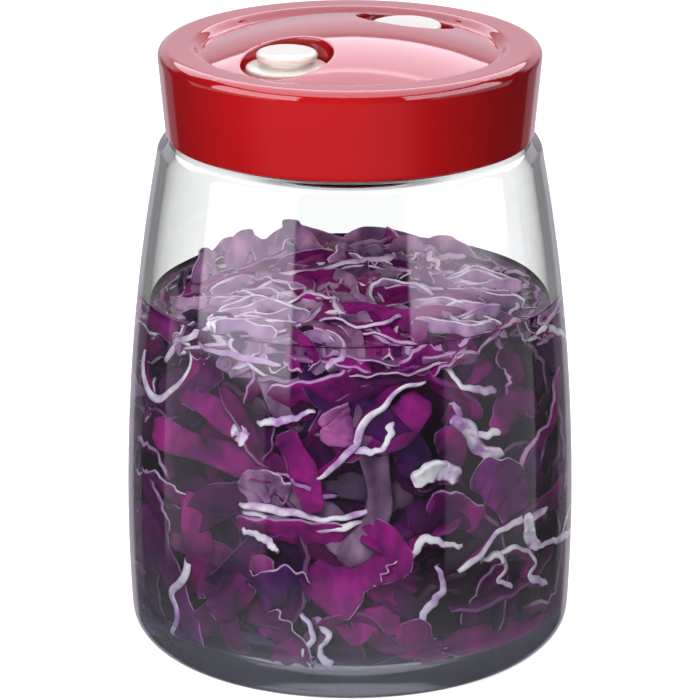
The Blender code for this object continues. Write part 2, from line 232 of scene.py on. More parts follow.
# Layers of wall shreds: depth, how many, light (painted shade, lower for the deeper layers), tint
# (hue, also lower for the deeper layers as painted shade), widths, share that is on edge
WALL_LAYERS = (
    (0.0065, 104, 0.28, 0.26, (0.009, 0.015), 0.04),
    (0.0032, 108, 0.58, 0.45, (0.006, 0.012), 0.18),
    (0.0005, 84, 0.90, 0.65, (0.005, 0.010), 0.30),
)
WALL_LENGTHS = (0.020, 0.055)
WALL_THICKNESSES = (0.0014, 0.0026)
WALL_BENDS = (-2.0, 2.0)
WALL_WAVES = (0.5, 3.5)
WALL_SLOPES = 0.65
WALL_SWAY = 0.003
EDGEWISE_ROLLS = (55.0, 80.0)
FLAT_ROLL = 48.0
PALE_SHARE = 0.05         # of leaves that are pale
WHITE_SHARE = 0.05        # of pieces of white rib
CUT_FACES = (0, 8)        # faces of a ribbon's two cut edges
BOLD_CUTS = (0, 1, 8, 15)  # the same with a broad band on one side
WRAP_RADIUS = 0.062       # a ribbon's flat curve goes round the jar at this radius
FRONT_SPAN = 1.05         # half the angle that the front shreds cover
STROKE_STATIONS = 36
MILLIMETRE = 0.001
# Kinds of front shreds: thickness (or half the width), whiteness of cuts, ruffle, cup
KINDS = {
    "edge": (0.0021, 1.0, 0.0004, 0.0005),
    "face": (0.0020, 0.55, 0.0004, 0.0005),
    "rib": (None, 1.0, 0.0004, 0.0005),
    "leaf": (0.0015, 0.7, 0.0010, 0.0014),
}

# The shreds that stand out at the front. Each row has the kind, width, roll in
# degrees, depth behind the glass and tint, with sizes in millimetres, and then
# the places x, y, x, y ... where the camera sees it in the picture.
STROKES = (
    ("edge", 5, 62, 0.6, 0.8,
     (152, 350, 151, 376, 158, 399, 175, 392, 193, 368, 195, 344, 184, 338, 168, 360)),
    ("face", 10.5, 38, 0.6, 0.75, (268, 400, 300, 393, 345, 388, 378, 366)),
    ("face", 8.5, 25, 0.4, 0.7, (402, 372, 424, 362, 445, 360)),
    ("edge", 5, 76, 0.4, 0.7,
     (427, 383, 398, 390, 381, 408, 363, 424, 353, 448, 334, 467, 317, 480)),
    ("edge", 3.5, 78, 1.2, 0.7, (354, 451, 378, 451, 389, 437, 390, 421)),
    ("face", 8, -32, 0.8, 0.75, (184, 392, 205, 405, 230, 424, 250, 440)),
    ("rib", 5, 10, 0.4, 0.7, (233, 428, 247, 440)),
    ("edge", 4, 66, 2, 0.6, (256, 424, 280, 422, 300, 418, 314, 412)),
    ("face", 9.2, -20, 1, 0.8, (160, 428, 210, 452, 255, 467, 288, 470)),
    ("face", 7.8, -18, 0.4, 0.78, (283, 433, 300, 470, 316, 512)),
    ("leaf", 10, 20, 0.6, 0.96, (244, 496, 266, 482, 289, 494)),
    ("edge", 4.5, 68, 0.6, 0.9, (239, 505, 290, 513, 328, 521, 368, 513)),
    ("edge", 4, 74, 1.4, 0.9, (243, 511, 285, 520, 330, 529, 362, 522)),
    ("face", 8.5, 30, 1.2, 0.85, (235, 523, 290, 531, 345, 533)),
    ("edge", 4, 75, 0.8, 0.5, (242, 529, 261, 537, 277, 553)),
    ("leaf", 17.5, -16, 0.6, 0.68, (318, 606, 345, 580, 380, 556, 404, 540)),
    ("leaf", 12, 24, 1.6, 0.62, (372, 600, 392, 588, 408, 560)),
    ("rib", 6, 15, 0.8, 0.7, (413, 482, 436, 470, 461, 476)),
    ("rib", 4.5, 35, 1, 0.7, (452, 418, 470, 430, 480, 448, 500, 456)),
    ("edge", 4.5, 72, 0.8, 0.7, (455, 405, 466, 428, 482, 436, 500, 430)),
    ("edge", 4.5, 74, 0.6, 0.7, (411, 561, 424, 539, 443, 545, 464, 547)),
    ("edge", 4, 77, 0.6, 0.7, (459, 571, 483, 550, 502, 529, 542, 507)),
    ("edge", 4, 66, 0.8, 0.8, (483, 560, 497, 556, 503, 568, 495, 580, 510, 585)),
    ("edge", 4, 66, 1, 0.8, (500, 553, 516, 548, 530, 560, 524, 575, 542, 582)),
    ("rib", 4, 20, 0.6, 0.7, (523, 513, 528, 536, 534, 546)),
    ("edge", 4.5, 70, 0.6, 0.7, (528, 547, 545, 541, 560, 530)),
    ("edge", 5, 66, 0.4, 0.7, (190, 550, 186, 574, 175, 593, 180, 620, 196, 644)),
    ("edge", 5, 64, 0.6, 0.95, (301, 614, 312, 634, 303, 652, 318, 668, 312, 682)),
    ("edge", 4.5, 68, 1, 0.95, (316, 618, 326, 636, 318, 650, 330, 664)),
    ("face", 8.5, -20, 0.8, 0.8, (443, 648, 475, 640, 510, 632, 540, 614)),
    ("leaf", 9.5, 18, 0.6, 0.78, (411, 620, 420, 642, 440, 664)),
    ("edge", 3.8, 76, 0.4, 0.6, (419, 633, 424, 614, 443, 588, 437, 566)),
    ("edge", 4.2, 72, 0.8, 0.7, (440, 351, 453, 378, 467, 389, 496, 392)),
    ("edge", 4.5, 70, 0.4, 0.7, (526, 341, 542, 330, 555, 346)),
    ("face", 9.5, -10, 2, 0.9, (331, 410, 339, 425, 337, 446)),
    ("face", 12, -25, 2.2, 0.72, (335, 455, 365, 440, 400, 425, 424, 398)),
    ("face", 8, 15, 2, 0.66, (440, 430, 452, 450, 447, 485)),
    ("face", 9, 20, 1.6, 0.72, (455, 348, 470, 360, 480, 380)),
    ("face", 9, -24, 1.6, 0.62, (500, 350, 512, 372, 508, 396)),
    ("leaf", 14, 16, 1.8, 0.45, (478, 470, 500, 482, 515, 512)),
    ("face", 8, 20, 1, 0.5, (150, 470, 160, 498, 172, 530)),
    ("leaf", 15, -18, 1.4, 0.6, (200, 570, 222, 585, 240, 610)),
    ("leaf", 13, 22, 2, 0.3, (255, 590, 285, 584, 310, 594)),
    ("face", 10, 24, 1.8, 0.7, (430, 500, 455, 508, 480, 520)),
    ("face", 9, -18, 1.4, 0.8, (345, 640, 365, 622, 400, 618)),
    ("leaf", 11, 18, 1.6, 0.66, (265, 615, 290, 640, 300, 664)),
)


# ---------------------------------------------------------------- helpers

def arc(center, width, height, start, end, count):
    """Points of an elliptical arc as (radius, height), angles in degrees."""
    angles = np.radians(np.linspace(start, end, count))
    return [(center[0] + width * math.cos(a), center[1] + height * math.sin(a)) for a in angles]


def side_radius(height):
    """Outer radius of the glass between its heel and its shoulder."""
    rise = np.asarray(height, float) - BELLY_HEIGHT
    curve = np.where(rise > 0.0, UPPER_ARC, LOWER_ARC)
    return BELLY_RADIUS - curve + np.sqrt(curve ** 2 - rise ** 2)


def inner_radius(height):
    """Inner radius of the glass below its shoulder."""
    height = np.asarray(height, float)
    radius = side_radius(np.maximum(height, HEEL_HEIGHT)) - WALL
    drop = np.clip((INNER_HEEL_TOP - height) / INNER_HEEL_HEIGHT, 0.0, 1.0)
    return radius - INNER_HEEL_WIDTH * (1.0 - np.sqrt(1.0 - drop ** 2))


def dome_height(radius):
    """Height of the lid's dome at a distance from the axis."""
    return DOME_TOP - DOME_SPHERE + math.sqrt(DOME_SPHERE ** 2 - radius ** 2)


def circle(place, radius, steps, shift=0.0):
    """Points of a circle in plan; shift is a part of a step."""
    angles = [2.0 * math.pi * (step + shift) / steps for step in range(steps)]
    return [(place[0] + radius * math.cos(a), place[1] + radius * math.sin(a)) for a in angles]


def resampled(points, count):
    """The curve through the points, again with points at even distances.

    count is how many, or their distance where it is below 1.
    """
    points = np.array(points)
    steps = np.hypot(*np.diff(points, axis=0).T)
    along = np.concatenate([[0.0], np.cumsum(steps)])
    if count < 1:
        count = int(along[-1] / count)
    even = np.linspace(0.0, along[-1], count)
    return np.column_stack([np.interp(even, along, points[:, axis]) for axis in (0, 1)])


def smoothed(outline, spacing, rounds):
    """The outline resampled at the spacing and softened, with its two ends kept."""
    result = resampled(outline, spacing)
    for _ in range(rounds):
        result[1:-1] = (result[:-2] + 2.0 * result[1:-1] + result[2:]) / 4.0
    return result


def turned_mesh(outline, steps, place=AXIS):
    """Vertices and faces of an outline turned about a place; its ends may lie on the axis."""
    vertices = []
    faces = []
    rings = []
    for radius, height in outline:
        if radius < 1e-6:
            rings.append([len(vertices)] * steps)
            vertices.append((*place, height))
            continue
        rings.append(list(range(len(vertices), len(vertices) + steps)))
        vertices += [(x, y, height) for x, y in circle(place, radius, steps)]
    for low, high in zip(rings[:-1], rings[1:]):
        for step in range(steps):
            after = (step + 1) % steps
            corners = [low[step], low[after], high[after], high[step]]
            face = [c for i, c in enumerate(corners) if c not in corners[:i]]
            if len(face) > 2:
                faces.append(face)
    return vertices, faces


def bands(first, rings, steps):
    """Faces between closed rings of vertices that follow each other from the first."""
    faces = []
    for ring in range(rings - 1):
        low = first + ring * steps
        high = low + steps
        for step in range(steps):
            after = (step + 1) % steps
            faces.append((low + step, low + after, high + after, high + step))
    return faces


def add_piece(name, vertices, faces, materials, outward=True):
    """A new smooth mesh object that rides on the part's body."""
    mesh = bpy.data.meshes.new(name)
    mesh.from_pydata([tuple(v) for v in vertices], [], [list(map(int, f)) for f in faces])
    if outward:
        shape = bmesh.new()
        shape.from_mesh(mesh)
        bmesh.ops.remove_doubles(shape, verts=shape.verts, dist=1e-7)
        bmesh.ops.recalc_face_normals(shape, faces=shape.faces)
        shape.to_mesh(mesh)
        shape.free()
    mesh.shade_smooth()
    piece = bpy.data.objects.new(name, mesh)
    bpy.context.scene.collection.objects.link(piece)
    for material in materials:
        mesh.materials.append(material)
    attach(piece, "root")
    return piece


# ---------------------------------------------------------------- materials

def new_material(name, **constants):
    """A material with its node tree, shader and output; constants go on the shader's sockets."""
    material = bpy.data.materials.new(name)
    material.use_nodes = True
    tree = material.node_tree
    shader = tree.nodes["Principled BSDF"]
    for socket, value in constants.items():
        shader.inputs[socket.replace("_", " ")].default_value = value
    return material, tree, shader, tree.nodes["Material Output"]


def add_node(tree, kind, **values):
    """A node with its attributes set, and its inputs by name after 'in_'."""
    node = tree.nodes.new(kind)
    for key, value in values.items():
        if key.startswith("in_"):
            node.inputs[key[3:].replace("_", " ")].default_value = value
        else:
            setattr(node, key, value)
    return node


def object_noise(tree, scale, detail, stretch=(1.0, 1.0, 1.0)):
    """Noise in the object's own coordinates."""
    place = add_node(tree, "ShaderNodeTexCoord")
    mapping = add_node(tree, "ShaderNodeMapping")
    mapping.inputs["Scale"].default_value = stretch
    grain = add_node(tree, "ShaderNodeTexNoise", in_Scale=scale, in_Detail=detail)
    tree.links.new(place.outputs["Object"], mapping.inputs["Vector"])
    tree.links.new(mapping.outputs["Vector"], grain.inputs["Vector"])
    return grain.outputs["Fac"]


def ramp(tree, source, stops):
    """The colour of a ramp over a value; stops are (position, colour)."""
    node = add_node(tree, "ShaderNodeValToRGB")
    elements = node.color_ramp.elements
    while len(elements) < len(stops):
        elements.new(0.5)
    for element, (position, color) in zip(elements, stops):
        element.position = position
        element.color = (*color, 1.0)
    tree.links.new(source, node.inputs["Fac"])
    return node.outputs["Color"]


def multiplied(tree, first, second):
    """The product of two colours."""
    product = add_node(tree, "ShaderNodeVectorMath", operation="MULTIPLY")
    tree.links.new(first, product.inputs[0])
    tree.links.new(second, product.inputs[1])
    return product.outputs["Vector"]


def put(tree, value, socket):
    """Sets a socket to a number, or links it to another node's output."""
    if isinstance(value, float):
        socket.default_value = value
    else:
        tree.links.new(value, socket)


def wire(tree, shader, **sources):
    """Links nodes' outputs to the shader's sockets."""
    for socket, source in sources.items():
        tree.links.new(source, shader.inputs[socket.replace("_", " ")])


def calculated(tree, operation, *values):
    """The result of a Math node on numbers or other nodes' outputs."""
    node = add_node(tree, "ShaderNodeMath", operation=operation)
    for socket, value in zip(node.inputs, values):
        put(tree, value, socket)
    return node.outputs["Value"]


def mixed(tree, share, first, second):
    """A value that goes from the first to the second with the share."""
    node = add_node(tree, "ShaderNodeMix", data_type="FLOAT")
    for name, value in (("Factor", share), ("A", first), ("B", second)):
        put(tree, value, node.inputs[name])
    return node.outputs["Result"]


def spread(tree, source, low, high, start=0.0, end=1.0, kind="LINEAR"):
    """The value between start and end mapped to between low and high."""
    node = add_node(
        tree, "ShaderNodeMapRange", interpolation_type=kind,
        in_From_Min=start, in_From_Max=end, in_To_Min=low, in_To_Max=high,
    )
    tree.links.new(source, node.inputs["Value"])
    return node.outputs["Result"]


def height_share(tree, low, high, start, end):
    """Between low and high, as the place on the object goes from height start to end."""
    place = add_node(tree, "ShaderNodeTexCoord")
    parts = add_node(tree, "ShaderNodeSeparateXYZ")
    tree.links.new(place.outputs["Object"], parts.inputs["Vector"])
    return spread(tree, parts.outputs["Z"], low, high, start, end)


def bump(tree, shader, source, strength, distance):
    """Unevenness of the shader's surface that follows the source."""
    node = add_node(tree, "ShaderNodeBump", in_Strength=strength, in_Distance=distance)
    tree.links.new(source, node.inputs["Height"])
    wire(tree, shader, Normal=node.outputs["Normal"])


def glass_material():
    """Clear glass with soft waves, and fine level streaks in its thick base."""
    material, tree, shader, _ = new_material(
        "clear_glass", Base_Color=(0.975, 0.985, 0.985, 1.0), Transmission_Weight=1.0, IOR=1.48
    )
    waves = object_noise(tree, 26.0, 1.0, (1.0, 1.0, 0.45))
    streaks = object_noise(tree, 160.0, 2.0, (0.12, 0.12, 4.0))
    near_base = height_share(tree, 0.0, 0.5, STREAK_TOP, STREAK_FULL)
    bump(tree, shader, calculated(tree, "MULTIPLY_ADD", streaks, near_base, waves), 0.06, 0.004)
    wire(tree, shader, Roughness=spread(tree, waves, 0.0, 0.012))
    return material


def brine_material():
    """Violet brine with a faint pale haze towards the bottom: painted light, standing in for the
    light that comes in under the heap.
    """
    material, tree, shader, output = new_material("brine", IOR=1.33)
    # A pale bluish tint and a little less clearness towards the bottom: painted light under the
    # heap
    painted_light_haze = height_share(tree, 0.0, 1.0, PAINTED_LIGHT_HAZE_TOP, PAINTED_LIGHT_HAZE_FULL)
    tones = ramp(tree, painted_light_haze, [(0.0, (0.98, 0.96, 0.985)), (1.0, (0.78, 0.80, 0.95))])
    wire(tree, shader, Base_Color=tones)
    wire(tree, shader, Transmission_Weight=spread(tree, painted_light_haze, 1.0, 0.93))
    ripples = object_noise(tree, 90.0, 2.0)
    bump(tree, shader, ripples, 0.12, 0.001)
    wire(tree, shader, Roughness=spread(tree, ripples, 0.0, 0.02))
    tint = add_node(
        tree, "ShaderNodeVolumeAbsorption", in_Density=14.0, in_Color=(0.50, 0.28, 0.66, 1.0)
    )
    tree.links.new(tint.outputs["Volume"], output.inputs["Volume"])
    return material


def plastic_material(name, color, roughness, variation):
    """Moulded plastic with a faint unevenness in gloss, colour and surface."""
    material, tree, shader, _ = new_material(name, Coat_Weight=0.3, Coat_Roughness=0.03)
    broad = object_noise(tree, 40.0, 2.0)
    darker = tuple(channel * (1.0 - variation) for channel in color)
    wire(tree, shader, Base_Color=ramp(tree, broad, [(0.35, darker), (0.65, color)]))
    gloss = spread(tree, broad, roughness * 0.8, roughness * 1.2)
    wire(tree, shader, Roughness=gloss)
    bump(tree, shader, object_noise(tree, 220.0, 2.0), 0.03, 0.0004)
    return material


def attribute(tree, name):
    """A value that each ribbon carries."""
    return add_node(tree, "ShaderNodeAttribute", attribute_name=name).outputs["Fac"]


def painted_shade_level(tree):
    """How light a shred is drawn: painted shade that makes the ones deep in the heap darker."""
    return ramp(tree, attribute(tree, "light"), [(0.0, (0.0, 0.0, 0.0)), (1.0, (1.0, 1.0, 1.0))])


def skin_material():
    """The purple outside of a cabbage leaf; the tint runs from violet to magenta to pale."""
    material, tree, shader, _ = new_material(
        "cabbage_skin", Roughness=0.22, Specular_IOR_Level=0.38
    )
    hues = ramp(tree, attribute(tree, "tint"), [
        (0.0, (0.045, 0.008, 0.135)),
        (0.3, (0.110, 0.005, 0.160)),
        (0.6, (0.200, 0.003, 0.155)),
        (0.85, (0.330, 0.006, 0.210)),
        (1.0, (0.450, 0.250, 0.460)),
    ])
    clouds = ramp(tree, object_noise(tree, 55.0, 2.0), [
        (0.30, (0.30, 0.30, 0.42)),
        (0.52, (0.9, 0.9, 0.9)),
        (0.70, (1.35, 1.4, 1.3)),
    ])
    veins = ramp(tree, object_noise(tree, 190.0, 4.0, (1.0, 1.0, 0.5)), [
        (0.30, (0.45, 0.45, 0.55)),
        (0.55, (1.0, 1.0, 1.0)),
        (0.80, (1.5, 1.9, 1.5)),
    ])
    # Darkened by the ribbon's light value: painted shade, deepest in the heap
    lit = multiplied(tree, multiplied(tree, clouds, veins), painted_shade_level(tree))
    wire(tree, shader, Base_Color=multiplied(tree, hues, lit))
    bump(tree, shader, object_noise(tree, 90.0, 3.0), 0.7, 0.0018)
    return material


def cut_material():
    """The pale cut edge of a leaf, with lilac layers."""
    material, tree, shader, _ = new_material("cabbage_cut", Roughness=0.40, Specular_IOR_Level=0.15)
    grain = object_noise(tree, 150.0, 3.0)
    tones = ramp(tree, grain, [
        (0.30, (0.46, 0.22, 0.58)),
        (0.44, (0.78, 0.66, 0.86)),
        (0.58, (0.95, 0.96, 0.99)),
    ])
    stain = ramp(tree, attribute(tree, "edge"), [
        (0.0, (0.26, 0.03, 0.22)),
        (0.6, (0.66, 0.40, 0.66)),
        (1.0, (1.0, 1.0, 1.0)),
    ])
    # Darkened by the ribbon's light value: painted shade, deepest in the heap
    lit = multiplied(tree, multiplied(tree, tones, stain), painted_shade_level(tree))
    wire(tree, shader, Base_Color=lit)
    bump(tree, shader, grain, 0.3, 0.0004)
    return material


def core_material():
    """The deep shadow between the shreds."""
    material, tree, shader, _ = new_material("cabbage_core", Roughness=0.6, Specular_IOR_Level=0.05)
    lumps = object_noise(tree, 90.0, 4.0)
    tones = ramp(tree, lumps, [(0.35, (0.012, 0.004, 0.020)), (0.7, (0.060, 0.006, 0.055))])
    wire(tree, shader, Base_Color=tones)
    return material


# ---------------------------------------------------------------- glass and lid

def inner_outline(outset, heel_steps, heights):
    """Outline of the jar's inside from the axis up, moved into the glass by outset."""
    middle = (inner_radius(INNER_HEEL_TOP) + outset - INNER_HEEL_WIDTH, INNER_HEEL_TOP)
    outline = [(0.0, FLOOR_HEIGHT + FLOOR_RISE - outset)]
    outline += arc(middle, INNER_HEEL_WIDTH, INNER_HEEL_HEIGHT + outset, -90.0, 0.0, heel_steps)
    return outline + [(inner_radius(h) + outset, h) for h in heights]


def build_glass():
    """The jar, finer than its solid and on the same outline."""
    shoulder_start = SHOULDER_HEIGHT + 0.0005
    inside = inner_outline(0.0, 24, np.linspace(INNER_HEEL_TOP + 0.004, shoulder_start, 40))
    turn = (inner_radius(shoulder_start) - LIP_ROUND, SHOULDER_HEIGHT + 0.0008)
    inside += arc(turn, LIP_ROUND, LIP_ROUND, 0.0, 85.0, 8)
    inside += [(MOUTH_RADIUS + wider, SHOULDER_HEIGHT + rise) for wider, rise in THROAT]
    lip_middle = LIP_HEIGHT - LIP_ROUND
    inside.append((MOUTH_RADIUS, lip_middle))
    lip = arc((MOUTH_RADIUS + LIP_ROUND, lip_middle), LIP_ROUND, LIP_ROUND, 180.0, 90.0, 8)[1:]
    lip += arc((NECK_RADIUS - LIP_ROUND, lip_middle), LIP_ROUND, LIP_ROUND, 90.0, 0.0, 8)
    neck_foot = SHOULDER_HEIGHT + SHOULDER_ROUND
    shoulder = (side_radius(SHOULDER_HEIGHT) - SOFT_SHOULDER, neck_foot - SOFT_SHOULDER)
    outside = [(NECK_RADIUS, neck_foot)]
    outside += arc(shoulder, SOFT_SHOULDER, SOFT_SHOULDER, 90.0, 0.0, 14)
    heights = np.linspace(SHOULDER_HEIGHT, HEEL_HEIGHT + 0.003, 50)
    outside += [(side_radius(h), h) for h in heights]
    foot_radius = side_radius(HEEL_HEIGHT) - HEEL_WIDTH
    outside += arc((foot_radius, HEEL_HEIGHT), HEEL_WIDTH, HEEL_HEIGHT, 0.0, -90.0, 30)
    foot_inner = foot_radius - FOOT_WIDTH
    outside += [(foot_inner, 0.0), (foot_inner - 0.0060, PUSH_UP * 0.6), (0.0, PUSH_UP)]
    outline = smoothed(inside + lip + outside, GLASS_SPACING, 4)
    outline[:, 1] = np.maximum(outline[:, 1], 0.0)
    vertices, faces = turned_mesh(outline, GLASS_STEPS)
    glass = add_piece("glass", vertices, faces, [glass_material()])
    glass.visible_shadow = False
    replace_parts(glass, "jar_glass")


def inside_well(x, y, margin):
    """Whether a place in plan is over a well that is wider by the margin."""
    return any(math.hypot(x - place[0], y - place[1]) < radius + margin for place, radius in WELLS)


def dome_net(widening, drop):
    """The dome, lowered by drop, as an even triangle net with a hole at each well."""
    points = []
    edges = []
    rings = [(AXIS, DOME_EDGE_RADIUS, LID_STEPS)]
    rings += [(place, radius + widening, WELL_STEPS) for place, radius in WELLS]
    for place, radius, steps in rings:
        first = len(points)
        points += circle(place, radius, steps)
        edges += [(first + step, first + (step + 1) % steps) for step in range(steps)]
    # One more ring close to each hole keeps the shading of its edge even
    for place, radius, steps in rings[1:]:
        for x, y in circle(place, radius + NET_MARGIN, steps, 0.5):
            if math.hypot(x, y) < DOME_EDGE_RADIUS - NET_MARGIN * 0.6:
                points.append((x, y))
    rows = int(DOME_EDGE_RADIUS / NET_SPACING) + 1
    clear = widening + NET_MARGIN + NET_SPACING * 0.5
    for row in range(-rows, rows + 1):
        for column in range(-rows, rows + 1):
            x = (column + 0.5 * (row % 2)) * NET_SPACING
            y = row * NET_SPACING * 0.866
            within = math.hypot(x, y) < DOME_EDGE_RADIUS - NET_SPACING * 0.6
            if within and not inside_well(x, y, clear):
                points.append((x, y))
    net = geometry.delaunay_2d_cdt([Vector(p) for p in points], edges, [], 0, 1e-7)
    flat, faces = net[0], net[2]
    kept = []
    for face in faces:
        middle = sum((flat[i] for i in face), Vector((0.0, 0.0))) / len(face)
        if not inside_well(middle.x, middle.y, widening * 0.9):
            kept.append(list(face))
    return [(p.x, p.y, dome_height(p.length) - drop) for p in flat], kept


def add_well(place, well, vertices, faces):
    """A round hole in the dome with a rounded edge, a straight wall and a flat floor."""
    first = len(vertices)
    # Radius, drop below the dome, and share of the way from there to the floor
    rings = []
    for turn in np.linspace(0.0, math.pi / 2.0, 6):
        out = WELL_ROUND * (1.0 - math.sin(turn))
        rings.append((well + out, WELL_ROUND * (1.0 - math.cos(turn)), 0.0))
    rings += [(well, WELL_ROUND, share) for share in (0.25, 0.5, 0.75)]
    for radius, drop, share in rings:
        for x, y in circle(place, radius, WELL_STEPS):
            top = dome_height(math.hypot(x, y)) - drop
            vertices.append((x, y, top + (WELL_FLOOR + WELL_ROUND - top) * share))
    floor_rings = [(well, WELL_ROUND), (well - 0.0002, 0.0002)]
    floor_rings += [(well - 0.0007, 0.0), (well * 0.5, 0.0)]
    for radius, rise in floor_rings:
        vertices += [(x, y, WELL_FLOOR + rise) for x, y in circle(place, radius, WELL_STEPS)]
    faces += bands(first, len(rings) + len(floor_rings), WELL_STEPS)
    last = len(vertices) - WELL_STEPS
    vertices.append((place[0], place[1], WELL_FLOOR))
    for step in range(WELL_STEPS):
        faces.append([last + step, last + (step + 1) % WELL_STEPS, len(vertices) - 1])


def join(vertices, faces, more_vertices, more_faces):
    """Adds another mesh to the lists."""
    shift = len(vertices)
    vertices += more_vertices
    faces += [[index + shift for index in face] for face in more_faces]


def build_lid():
    """The lid's rim, skirt and underside are turned; its dome carries the wells."""
    outer = [
        (DOME_EDGE_RADIUS, dome_height(DOME_EDGE_RADIUS)),
        (VALLEY_RADIUS - 0.0010, VALLEY_HEIGHT + 0.0004),
        (VALLEY_RADIUS, VALLEY_HEIGHT),
        (RIM_INNER_RADIUS - 0.0010, LID_TOP - 0.0011),
        (RIM_INNER_RADIUS, LID_TOP - 0.0001),
    ]
    rim = (LID_TOP_RADIUS - LID_ROUND, LID_TOP - LID_ROUND)
    outer += arc(rim, LID_ROUND, LID_ROUND, 90.0, 0.0, 20)
    outer += [
        SKIRT_MIDDLE,
        (LID_BOTTOM_RADIUS, LID_BOTTOM + 0.0004),
        (LID_BOTTOM_RADIUS - 0.0004, LID_BOTTOM),
    ]
    inner = [
        (LID_BOTTOM_RADIUS - LID_SHELL, LID_BOTTOM),
        (LID_BOTTOM_RADIUS - LID_SHELL, LIP_HEIGHT + SEAT_GAP),
        (RIM_INNER_RADIUS - 0.0014, LIP_HEIGHT + SEAT_GAP),
        (VALLEY_RADIUS, VALLEY_HEIGHT - LID_SHELL),
        (DOME_EDGE_RADIUS, dome_height(DOME_EDGE_RADIUS) - LID_SHELL),
    ]
    outline = np.vstack([smoothed(outer, LID_SPACING, 3), inner])
    vertices, faces = turned_mesh(outline, LID_STEPS)
    under, under_faces = dome_net(SEAT_GAP, LID_SHELL)
    dome, dome_faces = dome_net(WELL_ROUND, 0.0)
    for place, radius in WELLS:
        add_well(place, radius, dome, dome_faces)
    join(vertices, faces, dome, dome_faces)
    join(vertices, faces, under, [face[::-1] for face in under_faces])
    base = WELL_FLOOR - CUP_WALL
    for place, radius in WELLS:
        side = radius + CUP_WALL
        cup = [(0.0, base), (side - 0.0004, base), (side, base + 0.0004), (side, CUP_TOP)]
        join(vertices, faces, *turned_mesh(cup, 64, place))
    red = plastic_material("red_plastic", RED, roughness=0.05, variation=0.06)
    lid = add_piece("red_lid", vertices, faces, [red])
    lid.data.set_sharp_from_angle(angle=math.radians(50.0))
    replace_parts(lid, "lid")


def build_white_piece(material, name, node, radius, top, thickness, neck_radius, flange_top, place):
    """A domed cap with a soft edge, on a waisted neck and a flange."""
    bottom = WELL_FLOOR + SEAT_GAP
    foot = flange_top + FLANGE_RISE
    edge = thickness / 2.0
    brim = (radius - edge * 1.25, top - edge - 0.0002)
    outline = [(radius * share, top - 0.0005 * share ** 2) for share in (0.0, 0.3, 0.5, 0.68)]
    outline += arc(brim, edge * 1.25, edge - 0.0001, 72.0, -90.0, 24)
    outline += [
        (neck_radius + 0.0008, top - thickness - 0.0002),
        (neck_radius + 0.0002, (top - thickness + foot) / 2.0),
        (neck_radius + 0.0014, foot + 0.0001),
        (FLANGE_RADIUS - 0.0022, flange_top + FLANGE_RISE * 0.6),
        (FLANGE_RADIUS - 0.0004, flange_top),
        (FLANGE_RADIUS, flange_top - 0.0004),
        (FLANGE_RADIUS, bottom),
        (0.0, bottom),
    ]
    vertices, faces = turned_mesh(smoothed(outline, WHITE_SPACING, 2), 96, place)
    piece = add_piece(name, vertices, faces, [material])
    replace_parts(piece, node)


# ---------------------------------------------------------------- filling

def build_brine():
    """The liquid, just into the glass wall, with a meniscus and a faintly rippled top."""
    top = WATER_HEIGHT + MENISCUS_RISE
    outline = inner_outline(INTO_WALL, 20, np.linspace(INNER_HEEL_TOP + 0.003, top, 34))
    edge = inner_radius(top) + INTO_WALL
    for back in np.linspace(0.0, MENISCUS_REACH, 8)[1:]:
        rise = MENISCUS_RISE * math.exp(-4.0 * back / MENISCUS_REACH)
        outline.append((edge - back, WATER_HEIGHT + rise))
    outline += [(r, WATER_HEIGHT) for r in np.linspace(edge - MENISCUS_REACH - 0.002, 0.0, 26)]
    vertices, faces = turned_mesh(outline, 160)
    for index, (x, y, z) in enumerate(vertices):
        if z > WATER_HEIGHT - 0.0001 and math.hypot(x, y) < edge - 0.002:
            vertices[index] = (x, y, z + RIPPLE * noise.noise(Vector((x, y, 0.0)) * 130.0))
    brine = add_piece("brine", vertices, faces, [brine_material()])
    brine.visible_shadow = False


